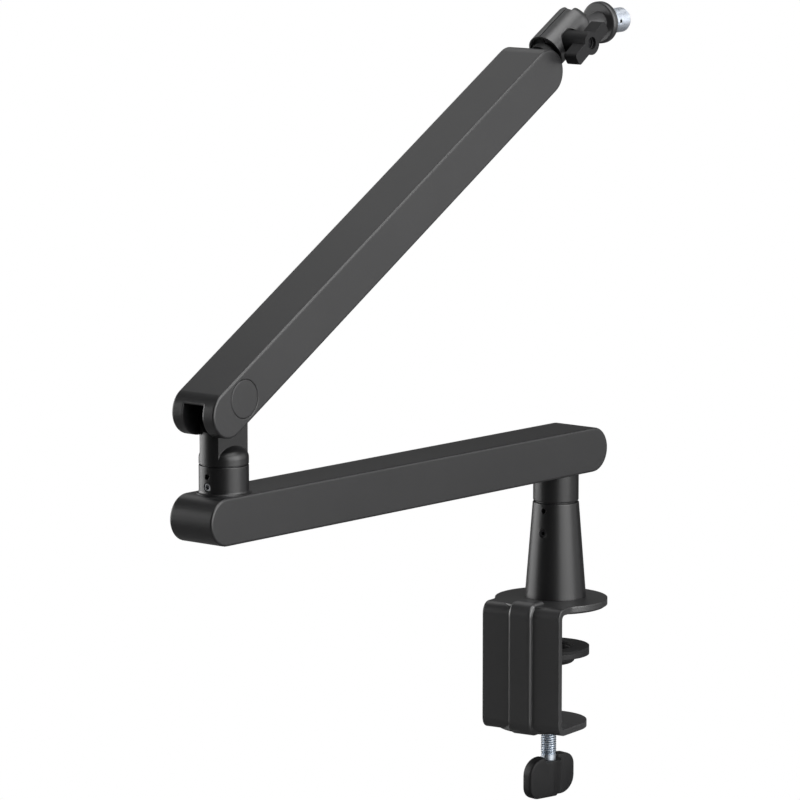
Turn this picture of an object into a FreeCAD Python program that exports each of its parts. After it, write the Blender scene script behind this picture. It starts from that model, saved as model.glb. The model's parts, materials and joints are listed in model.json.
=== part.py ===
import FreeCAD
import Part
import Sketcher
import math
import os

# Low-profile microphone boom arm on a desk clamp, in millimetres.
# +Z is up, X runs along the desk edge and Y goes in over the desk.
# The origin is on the axis of the clamp screw, on the plane where the upper jaw meets the desk.

SIZES = {
    # clamp bracket
    "plate_thickness": 4.0,
    "jaw_pad_thickness": 1.0,
    "jaw_pad_margin": 1.5,
    "disc_radius": 36.3,
    "disc_offset": 2.5,
    "throat_depth": 31.5,
    "bracket_width": 57.0,
    "bend_radius": 3.0,
    "jaw_opening": 73.5,
    "lip_offset": 7.8,
    "strip_fillet": 8.0,
    "rib_width": 17.0,
    "rib_height": 2.2,
    "rib_shoulder": 2.0,
    "rib_return": 15.0,
    # clamp screw and pressure plate
    "screw_radius": 5.0,
    "screw_clearance": 0.1,
    "screw_chamfer": 0.8,
    "journal_radius": 3.8,
    "journal_tip": 2.4,
    "pad_drop": 26.1,
    "pad_radius": 26.0,
    "pad_thickness": 2.0,
    "pad_bore": 15.5,
    "plate_rim": 3.2,
    "hub_radius": 16.8,
    "hub_depth": 10.9,
    "hub_round": 3.0,
    "hub_floor": 4.6,
    "recess_radius": 14.5,
    "clip_radius": 6.6,
    "clip_thickness": 1.0,
    "clip_groove": 0.8,
    # clamp knob
    "knob_gap": 20.5,
    "knob_height": 28.6,
    "knob_span": 38.4,
    "knob_thickness": 8.0,
    "knob_corner": 11.5,
    "knob_shoulder": 10.0,
    "knob_edge_round": 1.6,
    "knob_hub_radius": 8.4,
    "knob_hub_lift": 1.6,
    "knob_notch_depth": 3.2,
    "knob_socket": 18.0,
    "knob_angle": 72.5,
    # riser
    "riser_offset": 7.8,
    "riser_base_radius": 19.8,
    "riser_top_radius": 14.95,
    "riser_height": 62.2,
    "riser_edge_round": 0.8,
    "riser_floor": 1.2,
    "base_bush_radius": 9.0,
    "base_bush_flange_radius": 11.0,
    "base_bush_flange": 1.6,
    "riser_bolt_circle": 10.5,
    "riser_bolt_radius": 2.5,
    "riser_bolt_head": 4.6,
    "riser_bolt_head_height": 2.4,
    "riser_bolt_length": 13.0,
    "riser_bolt_count": 3,
    "riser_grub_drop": 19.1,
    "riser_pilot_drop": 4.8,
    # set screws, alike at the riser and the elbow
    "grub_radius": 2.5,
    "grub_socket": 1.5,
    "grub_socket_depth": 2.4,
    "pilot_radius": 1.6,
    "grub_inset": 0.4,
    "pilot_inset": 2.6,
    # fits
    "running_clearance": 0.05,
    "fit_clearance": 0.1,
    "side_clearance": 0.4,
    # swivel base
    "washer_thickness": 0.8,
    "washer_inset": 1.2,
    "spindle_radius": 7.0,
    "spindle_end_gap": 4.8,
    "post_radius": 14.7,
    "post_height": 17.5,
    "post_edge_round": 0.6,
    # both arms
    "arm_width": 33.8,
    "arm_height": 28.8,
    "arm_wall": 2.2,
    "arm_edge_round": 1.2,
    # lower arm
    "lower_span": 319.0,
    "lower_base_end": 32.5,
    "lower_elbow_end": 29.8,
    "lower_heading": 262.5,
    "cover_ledge": 3.0,
    "cover_hook": 0.8,
    "cover_thickness": 1.8,
    "cover_rail_height": 5.0,
    "cover_rail_thickness": 1.4,
    "lower_cover_start": 46.0,
    "lower_cover_end": 42.0,
    "joint_plate_thickness": 3.0,
    "joint_plate_length": 30.0,
    "plate_bolt_circle": 11.8,
    "plate_bolt_radius": 2.0,
    "plate_bolt_head": 3.5,
    "plate_bolt_head_height": 2.2,
    "plate_bolt_grip": 8.0,
    "plate_bolt_count": 4,
    # elbow
    "collar_radius": 15.0,
    "collar_height": 17.0,
    "collar_flare": 1.8,
    "collar_edge_round": 0.6,
    "elbow_bush_radius": 8.8,
    "neck_spindle_radius": 6.2,
    "elbow_grub_drop": 12.3,
    "elbow_pilot_drop": 6.0,
    "neck_clip_radius": 7.9,
    "neck_clip_thickness": 1.2,
    "neck_clip_groove": 1.0,
    "neck_tail": 1.4,
    "elbow_fold": 180.05,
    # neck
    "pivot_height": 39.8,
    "neck_ring_radius": 15.0,
    "neck_wall": 3.4,
    "dome_shoulder": 6.0,
    "eye_radius": 9.8,
    "eye_drop": 20.2,
    # upper arm
    "upper_tail_end": 29.5,
    "upper_head_end": 351.7,
    "arm_pitch": 31.15,
    "friction_gap": 0.05,
    "slot_ceiling": 11.8,
    "slot_run": 16.5,
    "tail_block": 27.0,
    "nose_block": 22.0,
    "upper_cover_start": 62.0,
    "upper_cover_end": 60.0,
    # lift pivot
    "pivot_bolt_radius": 4.0,
    "pivot_head_radius": 7.0,
    "pivot_head_height": 3.3,
    "pivot_head_room": 0.5,
    "pivot_socket_radius": 2.6,
    "pivot_socket_depth": 2.0,
    "pivot_recess_radius": 8.6,
    "pivot_web": 3.0,
    "pivot_nut_flats": 13.0,
    "pivot_nut_height": 2.4,
    "disc_spring_radius": 7.6,
    "disc_spring_thickness": 0.8,
    "friction_washer_radius": 9.0,
    "friction_washer_thickness": 0.45,
    "cap_radius": 11.65,
    "cap_thickness": 2.0,
    "cap_edge_round": 0.3,
    # head swivel and split clamp
    "spigot_radius": 5.0,
    "spigot_flange_radius": 8.4,
    "spigot_flange_thickness": 4.4,
    "spigot_gap": 0.4,
    "spigot_neck_radius": 6.0,
    "spigot_neck_length": 6.0,
    "spigot_head_radius": 8.6,
    "spigot_head_length": 4.0,
    "spigot_tail": 8.6,
    "spigot_washer_thickness": 1.0,
    "spigot_washer_radius": 9.0,
    "spigot_nut_flats": 16.0,
    "spigot_nut_height": 4.5,
    "clamp_radius": 12.4,
    "clamp_tip": 8.6,
    "clamp_tip_round": 6.0,
    "clamp_gap": 5.8,
    "clamp_mouth_radius": 11.0,
    "clamp_mouth_depth": 2.6,
    "clamp_slit": 1.0,
    "clamp_bolt_setback": 16.4,
    "ball_reach": 35.3,
    "ball_radius": 7.6,
    "ball_clearance": 0.1,
    "ball_flat": 6.4,
    "bolt_radius": 3.0,
    "bolt_head_flats": 10.0,
    "bolt_head_height": 3.0,
    "bolt_reach": 25.5,
    "spot_face": 9.4,
    "channel_start": 2.0,
    "spot_radius": 8.6,
    # head knob
    "wing_hub_radius": 7.4,
    "wing_tip": 28.6,
    "wing_root": 19.0,
    "wing_span": 35.8,
    "wing_width": 8.2,
    "wing_corner": 2.0,
    "wing_angle": 3.6,
    "wing_recess_radius": 3.9,
    "wing_recess_depth": 2.2,
    "insert_radius": 5.0,
    "insert_length": 9.0,
    # microphone stud
    "stud_pitch": 1.5,
    "stud_shank_radius": 4.0,
    "stud_cone_start": 13.4,
    "stud_cone_radius": 4.8,
    "stud_flare_radius": 7.2,
    "flange_start": 28.4,
    "flange_radius": 13.5,
    "flange_thickness": 5.0,
    "flange_round": 1.4,
    "small_thread_radius": 4.7625,
    "small_thread_length": 17.0,
    "large_thread_radius": 7.9375,
    "adapter_length": 20.5,
    "adapter_collar_radius": 9.0,
    "adapter_collar_length": 5.0,
    "adapter_chamfer": 0.8,
    "adapter_hole_radius": 1.2,
    # one overrun for every cut that passes through a face
    "overrun": 2.0,
}

doc = FreeCAD.newDocument("MicrophoneBoomArm")
sheet = doc.addObject("Spreadsheet::Sheet", "Sizes")
for row, (name, number) in enumerate(SIZES.items(), 1):
    sheet.set(f"A{row}", name)
    sheet.set(f"B{row}", str(number))
    sheet.setAlias(f"B{row}", name)
doc.recompute()

X_AXIS = FreeCAD.Vector(1, 0, 0)
Y_AXIS = FreeCAD.Vector(0, 1, 0)
Z_AXIS = FreeCAD.Vector(0, 0, 1)
ORIGIN = FreeCAD.Vector(0, 0, 0)

# How close two places or directions are to count as the same.
PLACE_TOLERANCE = 1e-4
DIRECTION_TOLERANCE = 1e-6


class Size:
    """A number with the sheet formula that gives it, so that sums stay bound to the sheet."""

    def __init__(self, number, formula):
        self.number = number
        self.formula = formula

    def join(self, other, sign, swap=False):
        other = other if isinstance(other, Size) else Size(other, str(other))
        first, second = (other, self) if swap else (self, other)
        number = {
            "+": lambda a, b: a + b,
            "-": lambda a, b: a - b,
            "*": lambda a, b: a * b,
            "/": lambda a, b: a / b,
        }[sign](first.number, second.number)
        return Size(number, f"({first.formula} {sign} {second.formula})")

    def __add__(self, other):
        return self.join(other, "+")

    def __sub__(self, other):
        return self.join(other, "-")

    def __rsub__(self, other):
        return self.join(other, "-", swap=True)

    def __mul__(self, other):
        return self.join(other, "*")

    def __truediv__(self, other):
        return self.join(other, "/")

    def __neg__(self):
        return Size(-self.number, f"(-1 * {self.formula})")


def root_of_squares(long_side, short_side):
    """The other leg of a right triangle, kept bound to the sheet."""
    number = math.sqrt(long_side.number ** 2 - short_side.number ** 2)
    return Size(number, f"sqrt({long_side.formula}^2 - {short_side.formula}^2)")


class Sheet:
    """Every driving dimension by its alias."""


size = Sheet()
for name in SIZES:
    setattr(size, name, Size(float(sheet.get(name)), f"Sizes.{name}"))
NOTHING = Size(0.0, "0")

# Sub-parts by label, in the order in which they are made.
parts = {}


def new_body(label, placement):
    body = doc.addObject("PartDesign::Body", label)
    body.Label = label
    body.Placement = placement
    return body


def new_sketch(body, role, lift=None):
    """A sketch on one of the body's own origin planes, lifted along its normal."""
    sketch = body.newObject("Sketcher::SketchObject", body.Name + "Sketch")
    plane = [feature for feature in body.Origin.OriginFeatures if feature.Role == role][0]
    sketch.AttachmentSupport = [(plane, "")]
    sketch.MapMode = "FlatFace"
    if lift is not None:
        sketch.setExpression("AttachmentOffset.Base.z", lift.formula)
    return sketch


def pin_point(sketch, geometry, corner, x, y):
    for kind, place in (("DistanceX", x), ("DistanceY", y)):
        index = sketch.addConstraint(Sketcher.Constraint(kind, -1, 1, geometry, corner, place.number))
        sketch.setExpression(f"Constraints[{index}]", place.formula)


def draw_outline(sketch, corners):
    """A closed outline. A corner is (x, y), or (x, y, radius, turn) at the end of an arc."""
    lines = []
    for place, corner in enumerate(corners):
        before = corners[place - 1]
        start = FreeCAD.Vector(before[0].number, before[1].number, 0)
        end = FreeCAD.Vector(corner[0].number, corner[1].number, 0)
        if len(corner) == 2:
            lines.append(sketch.addGeometry(Part.LineSegment(start, end), False))
            continue
        radius, turn = corner[2], corner[3]
        chord = end - start
        side = FreeCAD.Vector(-chord.y, chord.x, 0).normalize() * turn
        rise = math.sqrt(max(radius.number ** 2 - (chord.Length / 2) ** 2, 0))
        centre = start + chord * 0.5 + side * rise
        sweep = [math.atan2(p.y - centre.y, p.x - centre.x) for p in (start, end)]
        if turn < 0:
            sweep.reverse()
        circle = Part.Circle(centre, Z_AXIS, radius.number)
        arc = sketch.addGeometry(Part.ArcOfCircle(circle, sweep[0], sweep[1]), False)
        index = sketch.addConstraint(Sketcher.Constraint("Radius", arc, radius.number))
        sketch.setExpression(f"Constraints[{index}]", radius.formula)
        lines.append(arc)
    for place, corner in enumerate(corners):
        following = (place + 1) % len(corners)
        ends = 1 if len(corner) == 4 and corner[3] < 0 else 2
        starts = 2 if len(corners[following]) == 4 and corners[following][3] < 0 else 1
        sketch.addConstraint(Sketcher.Constraint("Coincident", lines[place], ends, lines[following], starts))
        pin_point(sketch, lines[place], ends, corner[0], corner[1])


def draw_circle(sketch, x, y, radius):
    centre = FreeCAD.Vector(x.number, y.number, 0)
    circle = sketch.addGeometry(Part.Circle(centre, Z_AXIS, radius.number), False)
    pin_point(sketch, circle, 3, x, y)
    index = sketch.addConstraint(Sketcher.Constraint("Radius", circle, radius.number))
    sketch.setExpression(f"Constraints[{index}]", radius.formula)


def draw_box(sketch, left, right, low, high):
    draw_outline(sketch, [(left, low), (right, low), (right, high), (left, high)])


def finish_feature(body, feature, grows, before):
    doc.recompute()
    volume = feature.Shape.Volume
    if (volume > before) != grows:
        raise RuntimeError(f"{body.Label}: {feature.Name} changed the volume from {before} to {volume}")
    return feature


def volume_of(body):
    return body.Tip.Shape.Volume if body.Tip else 0.0


def pad(body, sketch, length, symmetric=False, backwards=False):
    before = volume_of(body)
    feature = body.newObject("PartDesign::Pad", body.Name + "Pad")
    feature.Profile = sketch
    feature.setExpression("Length", length.formula)
    feature.SideType = "Symmetric" if symmetric else "One side"
    feature.Reversed = backwards
    return finish_feature(body, feature, True, before)


def pocket(body, sketch, length=None, symmetric=False, backwards=False):
    """A cut of the given length, or right through both ways where none is given."""
    before = volume_of(body)
    feature = body.newObject("PartDesign::Pocket", body.Name + "Pocket")
    feature.Profile = sketch
    if length is None:
        feature.Type = "ThroughAll"
        feature.SideType = "Symmetric"
    else:
        feature.setExpression("Length", length.formula)
        feature.SideType = "Symmetric" if symmetric else "One side"
        feature.Reversed = backwards
    return finish_feature(body, feature, False, before)


def revolve(body, outline, cut=False, axis="V_Axis"):
    """Turn an XZ outline about the body's Z axis, or about its X axis with axis H_Axis."""
    before = volume_of(body)
    sketch = new_sketch(body, "XZ_Plane")
    draw_outline(sketch, outline)
    kind = "Groove" if cut else "Revolution"
    feature = body.newObject("PartDesign::" + kind, body.Name + kind)
    feature.Profile = sketch
    feature.ReferenceAxis = (sketch, [axis])
    feature.Angle = 360
    return finish_feature(body, feature, not cut, before)


def round_edges(body, radius, chosen):
    """Fillet the faces or edges of the tip for which chosen(element) is true."""
    shape = body.Tip.Shape
    faces = [f"Face{i}" for i, face in enumerate(shape.Faces, 1) if chosen(face)]
    edges = [f"Edge{i}" for i, edge in enumerate(shape.Edges, 1) if chosen(edge)]
    tip = body.Tip
    feature = body.newObject("PartDesign::Fillet", body.Name + "Fillet")
    feature.Base = (tip, faces + edges)
    feature.setExpression("Radius", radius.formula)
    doc.recompute()
    return feature


def turned(label, placement, outline):
    """A lathe-turned sub-part."""
    body = new_body(label, placement)
    revolve(body, outline)
    parts[label] = body
    return body


def group(label, pieces):
    """Like pieces in one sub-part."""
    compound = doc.addObject("Part::Compound", label)
    compound.Label = label
    compound.Links = pieces
    doc.recompute()
    parts[label] = compound


def at(x, y, z, rotation=None):
    """A placement from sizes."""
    base = FreeCAD.Vector(x.number, y.number, z.number)
    return FreeCAD.Placement(base, rotation or FreeCAD.Rotation())


def around(axis, degrees):
    return FreeCAD.Rotation(axis, degrees)


def on_circle(count, radius, turn_share=0.0):
    """Even places on a circle, as pairs of sizes; turn_share shifts them by a share of one step."""
    for step in range(int(count.number)):
        angle = 2 * math.pi * (step + turn_share) / int(count.number)
        yield radius * math.cos(angle), radius * math.sin(angle)


def same_place(first, second):
    return abs(first - second) < PLACE_TOLERANCE


def is_face(element, axis, place):
    """True for a flat face square to the axis at the place along it."""
    if element.ShapeType != "Face" or not isinstance(element.Surface, Part.Plane):
        return False
    centre = element.CenterOfMass
    normal = element.normalAt(0, 0)
    return abs(abs(normal.dot(axis)) - 1) < DIRECTION_TOLERANCE and same_place(centre.dot(axis), place)


# Levels and frames of the rest pose

jaw_plane = size.jaw_pad_thickness
disc_top = jaw_plane + size.plate_thickness
wall_inner = -size.throat_depth
wall_outer = wall_inner - size.plate_thickness
lip_top = -size.jaw_opening
lip_bottom = lip_top - size.plate_thickness
bend_outer = size.bend_radius + size.plate_thickness
bracket_half = size.bracket_width / 2
riser_top = disc_top + size.riser_height
arm_floor = riser_top + size.washer_thickness + size.post_height
arm_radius = size.arm_height / 2
arm_half = size.arm_width / 2
neck_level = arm_floor + size.arm_height + size.collar_height + size.washer_thickness

clamp_frame = FreeCAD.Placement()
riser_frame = at(NOTHING, size.riser_offset, disc_top)
lower_frame = at(NOTHING, size.riser_offset, arm_floor, around(Z_AXIS, size.lower_heading.number))
elbow_frame = lower_frame * at(size.lower_span, NOTHING, size.arm_height)
neck_frame = lower_frame * at(size.lower_span, NOTHING, neck_level - arm_floor,
                              around(Z_AXIS, -size.elbow_fold.number))
upper_frame = neck_frame * at(NOTHING, NOTHING, size.pivot_height, around(Y_AXIS, -size.arm_pitch.number))
ball_frame = upper_frame * at(size.upper_head_end + size.ball_reach, NOTHING, NOTHING)
stud_tilt = around(Y_AXIS, size.arm_pitch.number - size.stud_pitch.number)
stud_frame = ball_frame * at(NOTHING, NOTHING, NOTHING, stud_tilt * around(Y_AXIS, 90))
FACING_FRONT = around(X_AXIS, 90)
ALONG_ARM = around(Y_AXIS, 90)


# Clamp bracket: one strip of steel bent into a C, with a disc for the upper jaw, a round lower lip
# and a pressed stiffening rib round the back

bracket = new_body("clamp_bracket", clamp_frame)
side = new_sketch(bracket, "YZ_Plane")
draw_outline(side, [
    (size.disc_offset, jaw_plane),
    (wall_inner + size.bend_radius, jaw_plane),
    (wall_inner, jaw_plane - size.bend_radius, size.bend_radius, 1),
    (wall_inner, lip_top + size.bend_radius),
    (wall_inner + size.bend_radius, lip_top, size.bend_radius, 1),
    (-size.lip_offset, lip_top),
    (-size.lip_offset, lip_bottom),
    (wall_outer + bend_outer, lip_bottom),
    (wall_outer, lip_bottom + bend_outer, bend_outer, -1),
    (wall_outer, disc_top - bend_outer),
    (wall_outer + bend_outer, disc_top, bend_outer, -1),
    (size.disc_offset, disc_top),
])
pad(bracket, side, size.bracket_width, symmetric=True)
disc = new_sketch(bracket, "XY_Plane", jaw_plane)
draw_circle(disc, NOTHING, size.disc_offset, size.disc_radius)
pad(bracket, disc, size.plate_thickness)
lip = new_sketch(bracket, "XY_Plane", lip_bottom)
draw_circle(lip, NOTHING, -size.lip_offset, bracket_half)
pad(bracket, lip, size.plate_thickness)


def meets_disc(element):
    """The upright edges where the strip runs into the disc."""
    if element.ShapeType != "Edge" or not isinstance(element.Curve, Part.Line):
        return False
    low, high = element.BoundBox.ZMin, element.BoundBox.ZMax
    upright = same_place(low, jaw_plane.number) and same_place(high, disc_top.number)
    return upright and abs(element.CenterOfMass.y - wall_outer.number) > bend_outer.number


round_edges(bracket, size.strip_fillet, meets_disc)

rib_end = wall_outer + size.rib_return
rib_ramp = rib_end - size.rib_height
rib_root = size.plate_thickness / 2
rib_bend = bend_outer + size.rib_height
rib = new_sketch(bracket, "YZ_Plane")
draw_outline(rib, [
    (rib_end, disc_top - rib_root),
    (rib_end, disc_top),
    (rib_ramp, disc_top + size.rib_height),
    (wall_outer + bend_outer, disc_top + size.rib_height),
    (wall_outer - size.rib_height, disc_top - bend_outer, rib_bend, 1),
    (wall_outer - size.rib_height, lip_bottom + bend_outer),
    (wall_outer + bend_outer, lip_bottom - size.rib_height, rib_bend, 1),
    (rib_ramp, lip_bottom - size.rib_height),
    (rib_end, lip_bottom),
    (rib_end, lip_bottom + rib_root),
    (wall_outer + bend_outer, lip_bottom + rib_root),
    (wall_outer + rib_root, lip_bottom + bend_outer, bend_outer - rib_root, -1),
    (wall_outer + rib_root, disc_top - bend_outer),
    (wall_outer + bend_outer, disc_top - rib_root, bend_outer - rib_root, -1),
])
pad(bracket, rib, size.rib_width, symmetric=True)


def is_rib_shoulder(element):
    """The long outer edges of the rib."""
    if element.ShapeType != "Edge":
        return False
    box = element.BoundBox
    on_side = same_place(box.XLength, 0) and same_place(abs(box.XMin), size.rib_width.number / 2)
    outside = box.YMin < (wall_outer - size.rib_height).number + PLACE_TOLERANCE
    above = box.ZMin > (disc_top + size.rib_height).number - PLACE_TOLERANCE
    below = box.ZMax < (lip_bottom - size.rib_height).number + PLACE_TOLERANCE
    return on_side and (outside or above or below)


round_edges(bracket, size.rib_shoulder, is_rib_shoulder)
hole = new_sketch(bracket, "XY_Plane", lip_top + size.overrun)
draw_circle(hole, NOTHING, NOTHING, size.screw_radius + size.screw_clearance)
pocket(bracket, hole, size.plate_thickness + size.overrun * 2)
holes = new_sketch(bracket, "XY_Plane", disc_top + size.overrun)
for x, y in on_circle(size.riser_bolt_count, size.riser_bolt_circle):
    draw_circle(holes, x, y + size.riser_offset, size.riser_bolt_radius + size.fit_clearance)
pocket(bracket, holes, size.plate_thickness + size.overrun * 2)
holes = new_sketch(bracket, "XY_Plane", jaw_plane)
for x, y in on_circle(size.riser_bolt_count, size.riser_bolt_circle):
    draw_circle(holes, x, y + size.riser_offset, size.riser_bolt_head + size.fit_clearance)
pocket(bracket, holes, size.riser_bolt_head_height, backwards=True)
parts["clamp_bracket"] = bracket

# Soft pad under the upper jaw, cut short of the bend
jaw_pad = turned("upper_jaw_pad", at(NOTHING, size.disc_offset, NOTHING), [
    (NOTHING, NOTHING),
    (size.disc_radius - size.jaw_pad_margin, NOTHING),
    (size.disc_radius - size.jaw_pad_margin, jaw_plane),
    (NOTHING, jaw_plane),
])
pad_edge = wall_inner + size.bend_radius + size.side_clearance - size.disc_offset
bend_side = new_sketch(jaw_pad, "XY_Plane")
draw_box(bend_side, -size.disc_radius, size.disc_radius, -size.disc_radius, pad_edge)
pocket(jaw_pad, bend_side, jaw_plane + size.overrun, backwards=True)

# Riser: a turned cone with a bushed bore for the swivel spindle

bore_depth = size.riser_height - size.riser_bolt_length - size.riser_floor
riser = turned("riser", riser_frame, [
    (NOTHING, NOTHING),
    (size.riser_base_radius, NOTHING),
    (size.riser_top_radius, size.riser_height - size.riser_edge_round),
    (size.riser_top_radius - size.riser_edge_round, size.riser_height, size.riser_edge_round, 1),
    (size.base_bush_flange_radius + size.fit_clearance, size.riser_height),
    (size.base_bush_flange_radius + size.fit_clearance, size.riser_height - size.base_bush_flange),
    (size.base_bush_radius + size.fit_clearance, size.riser_height - size.base_bush_flange),
    (size.base_bush_radius + size.fit_clearance, size.riser_height - bore_depth),
    (NOTHING, size.riser_height - bore_depth),
])
holes = new_sketch(riser, "XY_Plane")
for x, y in on_circle(size.riser_bolt_count, size.riser_bolt_circle):
    draw_circle(holes, x, y, size.riser_bolt_radius + size.fit_clearance)
pocket(riser, holes, size.riser_bolt_length, backwards=True)
holes = new_sketch(riser, "XZ_Plane")
draw_circle(holes, NOTHING, size.riser_height - size.riser_grub_drop, size.grub_radius + size.fit_clearance)
draw_circle(holes, NOTHING, size.riser_height - size.riser_pilot_drop, size.pilot_radius + size.fit_clearance)
pocket(riser, holes, size.riser_base_radius + size.overrun, backwards=True)

turned("riser_bush", riser_frame * at(NOTHING, NOTHING, size.riser_height), [
    (size.spindle_radius + size.running_clearance, -bore_depth),
    (size.base_bush_radius, -bore_depth),
    (size.base_bush_radius, -size.base_bush_flange),
    (size.base_bush_flange_radius, -size.base_bush_flange),
    (size.base_bush_flange_radius, NOTHING),
    (size.spindle_radius + size.running_clearance, NOTHING),
])

bolts = []
for x, y in on_circle(size.riser_bolt_count, size.riser_bolt_circle):
    bolt = new_body("riser_bolt", at(x, y + size.riser_offset, jaw_plane))
    shank_end = size.plate_thickness + size.riser_bolt_length - size.fit_clearance * 2
    revolve(bolt, [
        (NOTHING, size.grub_socket_depth / 2),
        (size.grub_socket, size.grub_socket_depth / 2),
        (size.grub_socket, NOTHING),
        (size.riser_bolt_head, NOTHING),
        (size.riser_bolt_head, size.riser_bolt_head_height),
        (size.riser_bolt_radius, size.riser_bolt_head_height),
        (size.riser_bolt_radius, shank_end),
        (NOTHING, shank_end),
    ])
    bolts.append(bolt)
group("riser_bolts", bolts)


def grub_screw(label, placement, radius, inner, outer):
    """A socket set screw along the placement's Z, between two distances from its axis point."""
    body = new_body(label, placement)
    socket = radius * size.grub_socket / size.grub_radius
    revolve(body, [
        (NOTHING, inner),
        (radius, inner),
        (radius, outer),
        (socket, outer),
        (socket, outer - size.grub_socket_depth),
        (NOTHING, outer - size.grub_socket_depth),
    ])
    return body


def grub_pair(label, frame, top, places):
    """A clamping set screw and a smaller stop screw, one above the other, facing the frame's -Y."""
    screws = []
    for drop, radius, inner, outer in places:
        seat = frame * at(NOTHING, NOTHING, top - drop, FACING_FRONT)
        screws.append(grub_screw(label + "_screw", seat, radius, inner, outer))
    group(label, screws)


riser_slope = (size.riser_base_radius - size.riser_top_radius) / size.riser_height
grub_seat = size.base_bush_radius + size.side_clearance
grub_pair("riser_set_screws", riser_frame, size.riser_height, [
    (size.riser_grub_drop, size.grub_radius, grub_seat,
     size.riser_top_radius + riser_slope * size.riser_grub_drop - size.grub_inset),
    (size.riser_pilot_drop, size.pilot_radius, size.base_bush_flange_radius - size.base_bush_flange,
     size.riser_top_radius - size.pilot_inset),
])

# Pressure plate, its rubber face and the screw that lifts it

pad_top = -size.pad_drop
plate_top = pad_top - size.pad_thickness
hub_bottom = pad_top - size.hub_depth
floor_top = hub_bottom + size.hub_floor
turned("pressure_plate", clamp_frame, [
    (size.journal_radius + size.running_clearance, hub_bottom),
    (size.hub_radius - size.hub_round, hub_bottom),
    (size.hub_radius, hub_bottom + size.hub_round, size.hub_round, 1),
    (size.hub_radius, plate_top - size.plate_rim),
    (size.pad_radius, plate_top - size.plate_rim),
    (size.pad_radius, plate_top),
    (size.recess_radius, plate_top),
    (size.recess_radius, floor_top),
    (size.journal_radius + size.running_clearance, floor_top),
])
turned("pressure_pad", clamp_frame, [
    (size.pad_bore, plate_top),
    (size.pad_radius, plate_top),
    (size.pad_radius, pad_top),
    (size.pad_bore, pad_top),
])

knob_top = lip_bottom - size.knob_gap
screw_end = knob_top - size.knob_socket
clip_low = floor_top + size.fit_clearance
clip_high = clip_low + size.clip_thickness
clip_seat = size.journal_radius - size.clip_groove
turned("clamp_screw", clamp_frame, [
    (NOTHING, screw_end),
    (size.screw_radius - size.screw_chamfer, screw_end),
    (size.screw_radius, screw_end + size.screw_chamfer),
    (size.screw_radius, hub_bottom - size.running_clearance),
    (size.journal_radius, hub_bottom - size.running_clearance),
    (size.journal_radius, clip_low),
    (clip_seat, clip_low),
    (clip_seat, clip_high),
    (size.journal_radius, clip_high),
    (size.journal_radius, clip_high + size.journal_tip),
    (NOTHING, clip_high + size.journal_tip),
])
turned("plate_clip", clamp_frame, [
    (clip_seat + size.running_clearance, clip_low),
    (size.clip_radius, clip_low),
    (size.clip_radius, clip_high),
    (clip_seat + size.running_clearance, clip_high),
])

knob = new_body("clamp_knob", at(NOTHING, NOTHING, knob_top, around(Z_AXIS, size.knob_angle.number)))
knob_half = size.knob_span / 2
hub_floor = size.knob_hub_lift - size.knob_height
face = new_sketch(knob, "XZ_Plane")
draw_outline(face, [
    (-knob_half + size.knob_corner, -size.knob_height, size.knob_corner, 1),
    (knob_half - size.knob_corner, -size.knob_height),
    (knob_half, -size.knob_height + size.knob_corner, size.knob_corner, 1),
    (knob_half, -size.knob_shoulder),
    (knob_half - size.knob_shoulder, NOTHING, size.knob_shoulder, 1),
    (size.knob_hub_radius, NOTHING),
    (size.knob_hub_radius, -size.knob_notch_depth),
    (-size.knob_hub_radius, -size.knob_notch_depth),
    (-size.knob_hub_radius, NOTHING),
    (-knob_half + size.knob_shoulder, NOTHING),
    (-knob_half, -size.knob_shoulder, size.knob_shoulder, 1),
    (-knob_half, -size.knob_height + size.knob_corner),
])
pad(knob, face, size.knob_thickness, symmetric=True)
round_edges(knob, size.knob_edge_round,
            lambda part: is_face(part, Y_AXIS, size.knob_thickness.number / 2)
            or is_face(part, Y_AXIS, -size.knob_thickness.number / 2))
revolve(knob, [
    (NOTHING, hub_floor),
    (size.knob_hub_radius - size.knob_edge_round, hub_floor),
    (size.knob_hub_radius, hub_floor + size.knob_edge_round, size.knob_edge_round, 1),
    (size.knob_hub_radius, -size.knob_notch_depth),
    (NOTHING, -size.knob_notch_depth),
])
revolve(knob, [
    (NOTHING, -size.knob_socket),
    (size.screw_radius + size.fit_clearance, -size.knob_socket),
    (size.screw_radius + size.fit_clearance, size.overrun),
    (NOTHING, size.overrun),
], cut=True)
parts["clamp_knob"] = knob

# Swivel post under the lower arm

spindle_length = bore_depth + size.washer_thickness - size.spindle_end_gap
post = turned("base_post", lower_frame, [
    (NOTHING, -size.post_height - spindle_length),
    (size.spindle_radius, -size.post_height - spindle_length),
    (size.spindle_radius, -size.post_height),
    (size.post_radius - size.post_edge_round, -size.post_height),
    (size.post_radius, -size.post_height + size.post_edge_round, size.post_edge_round, 1),
    (size.post_radius, NOTHING),
    (NOTHING, NOTHING),
])


# The four bolts of a plate joint stand halfway between the axes of the arm.
between_share = 0.5


def drill_bolt_circle(body, depth, backwards):
    """The tapped holes of a plate joint, in the body's own XY plane."""
    tapped = new_sketch(body, "XY_Plane")
    for x, y in on_circle(size.plate_bolt_count, size.plate_bolt_circle, between_share):
        draw_circle(tapped, x, y, size.plate_bolt_radius + size.fit_clearance)
    pocket(body, tapped, depth, backwards=backwards)


drill_bolt_circle(post, size.plate_bolt_grip, False)
turned("base_thrust_washer", lower_frame * at(NOTHING, NOTHING, -size.post_height - size.washer_thickness), [
    (size.spindle_radius + size.fit_clearance, NOTHING),
    (size.post_radius - size.washer_inset, NOTHING),
    (size.post_radius - size.washer_inset, size.washer_thickness),
    (size.spindle_radius + size.fit_clearance, size.washer_thickness),
])

# Arms: round-ended aluminium shells, hollow and open underneath, where a cover snaps in


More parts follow.
